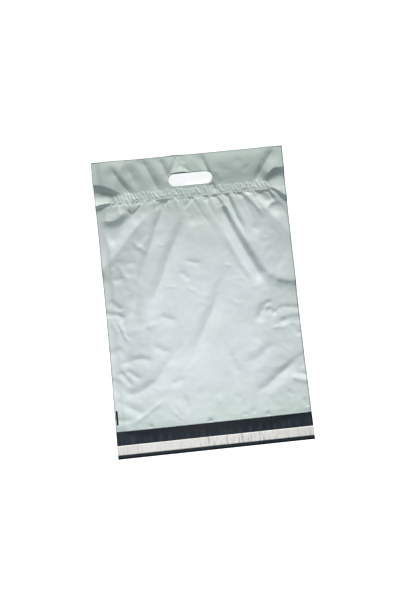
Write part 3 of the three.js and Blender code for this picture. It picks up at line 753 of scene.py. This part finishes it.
class Shader:
    """Short calls for the nodes of one material."""

    def __init__(self, name):
        self.material = bpy.data.materials.new(name)
        self.material.use_nodes = True
        self.nodes = self.material.node_tree.nodes
        self.links = self.material.node_tree.links
        self.place = self.node("TexCoord").outputs["Object"]
        self.x, self.y, self.z = self.node("SeparateXYZ", Vector=self.place).outputs

    def link(self, value, socket):
        """Links another socket to this one, or puts a plain value on it."""
        if hasattr(value, "is_output"):
            self.links.new(value, socket)
        else:
            socket.default_value = value

    def fill(self, node, values):
        for name, value in values.items():
            self.link(value, node.inputs[name.replace("_", " ")])
        return node

    def node(self, kind, **values):
        return self.fill(self.nodes.new("ShaderNode" + kind), values)

    def finish(self, **values):
        """Gives the surface its links and values, and hands over the material."""
        self.fill(self.nodes["Principled BSDF"], values)
        return self.material

    def math(self, operation, *values):
        node = self.node("Math")
        node.operation = operation
        for value, socket in zip(values, node.inputs):
            self.link(value, socket)
        return node.outputs[0]

    def stretched(self, scale):
        return self.node("Mapping", Vector=self.place, Scale=scale).outputs[0]

    def noise(self, scale, detail=3.0, place=None):
        place = place or self.place
        return self.node("TexNoise", Vector=place, Scale=scale, Detail=detail).outputs["Fac"]

    def wave(self, scale, direction, distortion=0.0):
        node = self.node("TexWave", Vector=self.place, Scale=scale, Distortion=distortion)
        node.bands_direction = direction
        return node.outputs["Fac"]

    def ramp(self, value, from_low, from_high, low, high):
        return self.node(
            "MapRange", Value=value, From_Min=from_low, From_Max=from_high, To_Min=low, To_Max=high
        )

    def ranged(self, value, low, high, from_low=0.3, from_high=0.7):
        return self.ramp(value, from_low, from_high, low, high).outputs[0]

    def between(self, value, low, high, blur):
        """1 between two places along an axis and 0 outside them."""
        ends = []
        for place, start, end in ((low, 0.0, 1.0), (high, 1.0, 0.0)):
            ramp = self.ramp(value, place - blur, place + blur, start, end)
            ramp.interpolation_type = "SMOOTHSTEP"
            ends.append(ramp.outputs[0])
        return self.math("MULTIPLY", *ends)

    def mix(self, share, first, second):
        node = self.node("Mix")
        node.data_type = "RGBA"
        for value, place in ((share, 0), (first, 6), (second, 7)):
            self.link(value, node.inputs[place])
        return node.outputs[2]

    def bump(self, height, distance, normal=None):
        node = self.node("Bump", Height=height, Strength=1.0, Distance=distance)
        if normal is not None:
            self.link(normal, node.inputs["Normal"])
        return node.outputs[0]


def toned(colour, share=1):
    """A colour with its channels at a share, and full alpha."""
    return (*(share * channel for channel in colour), 1)


def undrawn(s, layout):
    """Place across the flat film, before slack drew the sides in."""
    rate = math.pi / (FOLD_Y - LIP_Y)
    turn = s.math("MULTIPLY_ADD", s.y, rate, -LIP_Y * rate)
    draw = s.math("MULTIPLY_ADD", s.math("SINE", turn), -layout.film.side_draw / HALF_WIDTH, 1.0)
    return s.math("DIVIDE", s.x, draw)


def silver_film(look, layout):
    """Grey film with a satin face, knurled side welds and the printed register mark; part of its tint is
    a painted cool sheen that keeps the middle of the pocket bluer.
    """
    s = Shader("satin_silver")
    s.x = undrawn(s, layout)
    edge = s.math("ABSOLUTE", s.x)
    # Tint: random cloud tone, plus a painted sheen by place, with bluer silver in the middle of the
    # pocket and greener silver toward the sides, the handle and the mouth.
    cloud = s.ranged(s.noise(9.0, 2.0), -0.25, 0.25)
    sides_away_from_sheen = s.ranged(edge, 0.0, 0.45, 90 * MM, 190 * MM)
    away_from_painted_sheen = s.math("MAXIMUM", sides_away_from_sheen, s.ranged(s.y, 0.0, 1.0, 60 * MM, 235 * MM))
    away_from_painted_sheen = s.math("MAXIMUM", away_from_painted_sheen, s.ranged(s.y, 0.8, 0.0, -225 * MM, -130 * MM))
    greener = s.math("ADD", away_from_painted_sheen, cloud)
    tint = s.mix(greener, toned(look.silver), toned(look.silver_green))
    mark_x = s.between(s.x, *MARK_X, 0.15 * MM)
    mark_y = s.between(s.y, *MARK_Y, 0.15 * MM)
    above = s.math("GREATER_THAN", s.z, 0.12 * MM)
    mark = s.math("MULTIPLY", s.math("MULTIPLY", mark_x, mark_y), above)
    shaded = 0.0
    for axis, low, high, share in DARK_LINES:
        line = s.between(getattr(s, axis), low, high, 0.5 * MM)
        shaded = s.math("MAXIMUM", shaded, s.math("MULTIPLY", line, share))
    tint = s.mix(shaded, tint, toned(look.black))
    tint = s.mix(mark, tint, toned(look.register_mark))

    streaks = s.noise(60.0, 2.0, place=s.stretched((1.0, 0.06, 1.0)))
    grain = s.noise(900.0, 2.0)
    normal = s.bump(streaks, 0.12 * MM)
    normal = s.bump(grain, 0.012 * MM, normal)
    weld = s.between(edge, layout.welded + 1 * MM, HALF_WIDTH + 5 * MM, 0.6 * MM)
    knurl = s.wave(75.0, "Y", 6.0)
    normal = s.bump(s.math("MULTIPLY", knurl, weld), 0.1 * MM, normal)
    line = s.between(edge, layout.welded - 0.4 * MM, layout.welded + 0.4 * MM, 0.3 * MM)
    normal = s.bump(line, -0.15 * MM, normal)
    return s.finish(
        Base_Color=tint,
        Roughness=s.ranged(s.noise(35.0, 3.0), 0.54, 0.6),
        Metallic=s.math("MULTIPLY_ADD", mark, -0.1, 0.1),
        Specular_IOR_Level=s.math("MULTIPLY_ADD", mark, -0.25, 0.35),
        Normal=normal,
    )


def black_film(look, layout):
    """Navy-black inside of the film, with faint upright ribs above the liner and a painted highlight
    along their crests.
    """
    s = Shader("satin_black")
    cloud = s.noise(14.0, 3.0)
    ribs = s.noise(110.0, 0.0, place=s.stretched((1.0, 0.1, 1.0)))
    over_liner = s.between(s.y, LINER_HIGH.y + 2 * MM, LINER_HIGH.y + 12 * MM, 8 * MM)
    # Painted highlight: the ribs' crests turn paler where their bump is highest.
    rib_crest_highlight = s.math("MULTIPLY", s.ranged(ribs, 0.0, 1.0, 0.45, 0.8), over_liner)
    face = s.mix(s.ranged(cloud, 0.0, 0.7), toned(look.black), toned(look.black, 1.9))
    normal = s.bump(s.math("MULTIPLY", ribs, over_liner), 0.5 * MM)
    normal = s.bump(s.noise(70.0, 2.0), 0.15 * MM, normal)
    normal = s.bump(s.noise(900.0, 2.0), 0.01 * MM, normal)
    return s.finish(
        Base_Color=s.mix(rib_crest_highlight, face, toned(look.black, 3.5)),
        Roughness=s.ranged(s.noise(40.0), 0.42, 0.52),
        Specular_IOR_Level=0.22,
        Normal=normal,
    )


def liner_paper(look):
    """Coated release paper with fine fibres, a faint sheen, and painted shade in dark upright lines
    along its creases where it puckers most.
    """
    s = Shader("liner_paper")
    cloud = s.ranged(s.noise(60.0, 3.0), 0.0, 1.0)
    creases = s.noise(230.0, 2.0, place=s.stretched((1.0, 0.13, 1.0)))
    puckered = s.ranged(s.between(s.x, -35 * MM, 120 * MM, 45 * MM), 0.35, 1.0, 0, 1)
    # Painted shade: darker upright lines follow the creases' bump where the liner puckers most, in place
    # of the puckers' own shade.
    painted_crease_shade = s.math("MULTIPLY", s.ranged(creases, 0.0, 1.0, 0.52, 0.66), puckered)
    paper = s.mix(cloud, toned(look.liner), toned(look.liner, 0.93))
    normal = s.bump(creases, 0.1 * MM)
    return s.finish(
        Base_Color=s.mix(painted_crease_shade, paper, toned(look.liner, 0.6)),
        Roughness=s.ranged(s.noise(50.0), 0.42, 0.55),
        Normal=s.bump(s.noise(1500.0, 2.0), 0.01 * MM, normal),
    )


def hot_melt(look):
    """Tacky amber adhesive with a wet, uneven face."""
    s = Shader("tacky_melt")
    cloud = s.ranged(s.noise(120.0), 0.0, 1.0)
    return s.finish(
        Base_Color=s.mix(cloud, toned(look.adhesive), toned(look.adhesive, 0.8)),
        Roughness=0.22,
        Normal=s.bump(s.noise(400.0, 2.0), 0.03 * MM),
    )


def floor_paper(glow):
    """White floor that keeps the shadow and stays pale to the camera."""
    s = Shader("floor")
    path = s.node("LightPath").outputs
    seen = s.math("MAXIMUM", path["Is Camera Ray"], path["Is Glossy Ray"])
    seen = s.math("MAXIMUM", seen, path["Is Transmission Ray"])
    return s.finish(
        Base_Color=(0.85, 0.85, 0.85, 1),
        Roughness=0.9,
        Specular_IOR_Level=0.1,
        Emission_Color=(1, 1, 1, 1),
        Emission_Strength=s.math("MULTIPLY", seen, glow),
    )


def film_materials(layout):
    """The two film finishes, made once and shared by the three plies."""
    look = bpy.context.scene.mailer_look
    silver = bpy.data.materials.get("satin_silver") or silver_film(look, layout)
    black = bpy.data.materials.get("satin_black") or black_film(look, layout)
    return silver, black


# Operators


class MAILER_OT_pocket_ply(bpy.types.Operator):
    """Front ply of the pocket, from the mouth to the gathered seal"""

    bl_idname = "mailer.pocket_ply"
    bl_label = "Pocket Ply"

    def execute(self, context):
        layout = Layout(context.scene)
        columns = across_bag(context.scene.mailer_mesh.pocket_columns)
        sheet = film_grid(columns, stations(*pocket_rows(layout)))
        refine(sheet, layout.seal_low - NEAR_SEAL)
        raise_sheet(sheet, layout.front_height)
        finish_film("pocket_ply", sheet, layout)
        return {"FINISHED"}


class MAILER_OT_handle_ply(bpy.types.Operator):
    """Front ply of the gathered seal and the handle, with the hand slot"""

    bl_idname = "mailer.handle_ply"
    bl_label = "Handle Ply"

    def execute(self, context):
        layout = Layout(context.scene)
        columns = across_bag(context.scene.mailer_mesh.handle_columns)
        rows = stations(
            (layout.seal_low, layout.seal_low + 3 * MM, 6),
            (layout.seal_low + 3 * MM, FOLD_Y - EDGE_ROLL, 71),
            (FOLD_Y - EDGE_ROLL, FOLD_Y, 4),
        )
        sheet = film_grid(columns, rows)
        punch_slot(sheet, layout)
        raise_sheet(sheet, layout.front_height)
        draw_back_slot_edge(sheet, layout)
        finish_film("handle_ply", sheet, layout)
        return {"FINISHED"}


def draw_back_slot_edge(sheet, layout):
    """The turned-up ply stands back from the slot, and its slack bows the folded edge."""
    for vert in sheet.verts:
        from_slot = max(layout.slot_distance(vert.co.x, vert.co.y), 0)
        along = bell(vert.co.x + 15 * MM, 12 * MM)
        if vert.co.y > layout.slot_y:
            vert.co.y += 1.2 * MM * along * math.exp(-from_slot / (7 * MM))
        bow = bell(vert.co.x + 25 * MM, 14 * MM)
        vert.co.y += 1.4 * MM * bow * math.exp((vert.co.y - FOLD_Y) / (6 * MM))


class MAILER_OT_back_ply(bpy.types.Operator):
    """Back ply from the folded edge to the end of the closing lip, with the hand slot"""

    bl_idname = "mailer.back_ply"
    bl_label = "Back Ply"

    def execute(self, context):
        layout = Layout(context.scene)
        columns = across_bag(context.scene.mailer_mesh.pocket_columns)
        rows = stations(
            (LIP_Y, layout.mouth, 14),
            *pocket_rows(layout),
            (layout.seal_low, FOLD_Y - EDGE_ROLL, 40),
            (FOLD_Y - EDGE_ROLL, FOLD_Y - 0.2 * MM, 2),
        )
        sheet = film_grid(columns, rows)
        punch_slot(sheet, layout)
        raise_sheet(sheet, layout.back_height)
        bmesh.ops.reverse_faces(sheet, faces=sheet.faces)
        finish_film("back_ply", sheet, layout)
        return {"FINISHED"}


class MAILER_OT_adhesive(bpy.types.Operator):
    """Adhesive strip across the lip, under the liner"""

    bl_idname = "mailer.adhesive"
    bl_label = "Adhesive Strip"

    def execute(self, context):
        strip = bmesh.new()
        bmesh.ops.create_cube(strip, size=1)
        size = STRIP_HIGH - STRIP_LOW
        bmesh.ops.scale(strip, vec=size, verts=strip.verts)
        bmesh.ops.translate(strip, vec=(STRIP_LOW + STRIP_HIGH) / 2, verts=strip.verts)
        bmesh.ops.bevel(
            strip, geom=strip.edges, offset=0.2 * size.z, offset_type="OFFSET", segments=2,
            profile=0.5, affect="EDGES", material=-1,
        )
        piece = new_piece("adhesive_band", strip, [hot_melt(context.scene.mailer_look)])
        place_piece(piece, "adhesive_strip")
        return {"FINISHED"}


class MAILER_OT_liner(bpy.types.Operator):
    """Puckered release liner from edge to edge of the lip"""

    bl_idname = "mailer.liner"
    bl_label = "Release Liner"

    def execute(self, context):
        scene = context.scene
        columns = np.linspace(LINER_LOW.x, LINER_HIGH.x, scene.mailer_mesh.liner_columns + 1)
        sheet = film_grid(columns, np.linspace(LINER_LOW.y, LINER_HIGH.y, 15))
        raise_sheet(sheet, liner_height)
        paper = [liner_paper(scene.mailer_look)]
        piece = finish_sheet("liner_tape", sheet, LINER_THICKNESS, paper)
        place_piece(piece, "release_liner")
        return {"FINISHED"}


def liner_height(x, y):
    """Upright puckers of uneven pitch, strongest right of the middle."""
    drift = 1.6 * MM * soft_noise(x, y * 0.4, 9, 41)
    crest = np.abs(np.sin(np.pi * (x + drift) / (5.2 * MM))) ** 1.3
    strength = 0.12 + 0.88 * bell(x - 45 * MM, 70 * MM)
    uneven = 0.6 + 0.5 * soft_noise(x, y, 13, 42)
    slack = 0.25 * MM * (1 + soft_noise(x, y, 40, 43))
    return STRIP_HIGH.z + 0.1 * MM + 1.1 * MM * crest * strength * uneven + slack


class MAILER_OT_stage(bpy.types.Operator):
    """Pale floor, soft light, and the camera over the bag"""

    bl_idname = "mailer.stage"
    bl_label = "Stage"

    def execute(self, context):
        scene, setting = context.scene, context.scene.mailer_stage
        scene.view_settings.view_transform = "Standard"
        add_floor()
        add_sky(scene, setting.sky_strength)
        add_key(setting.key_strength)
        add_top_light(setting.top_power)
        add_camera(scene, setting.camera_height)
        return {"FINISHED"}


def add_floor():
    floor = bmesh.new()
    bmesh.ops.create_grid(floor, x_segments=1, y_segments=1, size=3.0)
    piece = new_piece("floor", floor, [floor_paper(glow=0.7)])


def add_sky(scene, strength):
    """Pale blue light from all round, and a white backdrop to the camera."""
    world = bpy.data.worlds.new("soft_sky")
    scene.world = world
    world.use_nodes = True
    nodes, links = world.node_tree.nodes, world.node_tree.links
    path = nodes.new("ShaderNodeLightPath")
    both = nodes.new("ShaderNodeMixShader")
    links.new(path.outputs["Is Camera Ray"], both.inputs[0])
    skies = (nodes["Background"], nodes.new("ShaderNodeBackground"))
    looks = (((0.62, 0.95, 1.0, 1), strength), ((1, 1, 1, 1), 1.0))
    for sky, (colour, power), socket in zip(skies, looks, both.inputs[1:]):
        sky.inputs["Color"].default_value = colour
        sky.inputs["Strength"].default_value = power
        links.new(sky.outputs[0], socket)
    links.new(both.outputs[0], nodes["World Output"].inputs["Surface"])


def add_lamp(name, kind, energy, colour, place):
    lamp = new_object(name, bpy.data.lights.new(name, kind))
    lamp.data.energy = energy
    lamp.data.color = colour
    lamp.location = place
    return lamp


def add_key(strength):
    """A low soft sun that comes from beyond the handle, a little from the right."""
    lamp = add_lamp("key_light", "SUN", strength, (1.0, 0.99, 0.965), (0.2, 1.5, 0.7))
    lamp.data.angle = math.radians(12)
    elevation, bearing = math.radians(18), math.radians(8)
    lamp.rotation_euler = (math.pi / 2 - elevation, 0, math.pi - bearing)


def add_top_light(power):
    """A wide soft lamp that looks straight down on the pocket."""
    lamp = add_lamp("top_light", "AREA", power, (0.94, 0.97, 1.0), (-0.04, -0.17, 0.45))
    lamp.data.shape = "RECTANGLE"
    lamp.data.size, lamp.data.size_y = 0.45, 0.3


def add_camera(scene, height):
    """A camera over the bag, turned and tipped as the photograph is."""
    focal_pixels, image_height, sensor = 800, 601, 24.0
    lens = bpy.data.cameras.new("camera")
    lens.sensor_fit = "VERTICAL"
    lens.sensor_height = sensor
    lens.lens = sensor * focal_pixels / image_height
    camera = new_object("camera", lens)
    scene.camera = camera
    camera.location = Vector(CAMERA_PLACE) * (height / CAMERA_PLACE[2])
    camera.rotation_euler = [math.radians(angle) for angle in (5.578, -1.301, -5.898)]


class MAILER_PT_panel(bpy.types.Panel):
    """Sizes, colours and pieces of the mailing bag"""

    bl_label = "Poly Mailer Bag"
    bl_idname = "MAILER_PT_panel"
    bl_space_type = "VIEW_3D"
    bl_region_type = "UI"
    bl_category = "Mailer"

    def draw(self, context):
        column = self.layout.column()
        for group in PROPERTY_GROUPS:
            settings = getattr(context.scene, group)
            for name in settings.bl_rna.properties.keys():
                if name not in ("rna_type", "name"):
                    column.prop(settings, name)
        for operator in OPERATORS:
            column.operator(operator.bl_idname)


PROPERTY_GROUPS = {
    "mailer_film": MailerFilm,
    "mailer_seal": MailerSeal,
    "mailer_mesh": MailerMesh,
    "mailer_look": MailerLook,
    "mailer_stage": MailerStage,
}
OPERATORS = [
    MAILER_OT_pocket_ply,
    MAILER_OT_handle_ply,
    MAILER_OT_back_ply,
    MAILER_OT_adhesive,
    MAILER_OT_liner,
    MAILER_OT_stage,
]
CLASSES = [*PROPERTY_GROUPS.values(), *OPERATORS, MAILER_PT_panel]


def register():
    for part in CLASSES:
        bpy.utils.register_class(part)
    for name, group in PROPERTY_GROUPS.items():
        setattr(bpy.types.Scene, name, PointerProperty(type=group))


def unregister():
    for name in PROPERTY_GROUPS:
        delattr(bpy.types.Scene, name)
    for part in reversed(CLASSES):
        bpy.utils.unregister_class(part)


def main():
    register()
    bpy.ops.mailer.pocket_ply()
    bpy.ops.mailer.handle_ply()
    bpy.ops.mailer.back_ply()
    bpy.ops.mailer.adhesive()
    bpy.ops.mailer.liner()
    bpy.ops.mailer.stage()


if __name__ == "__main__":
    main()
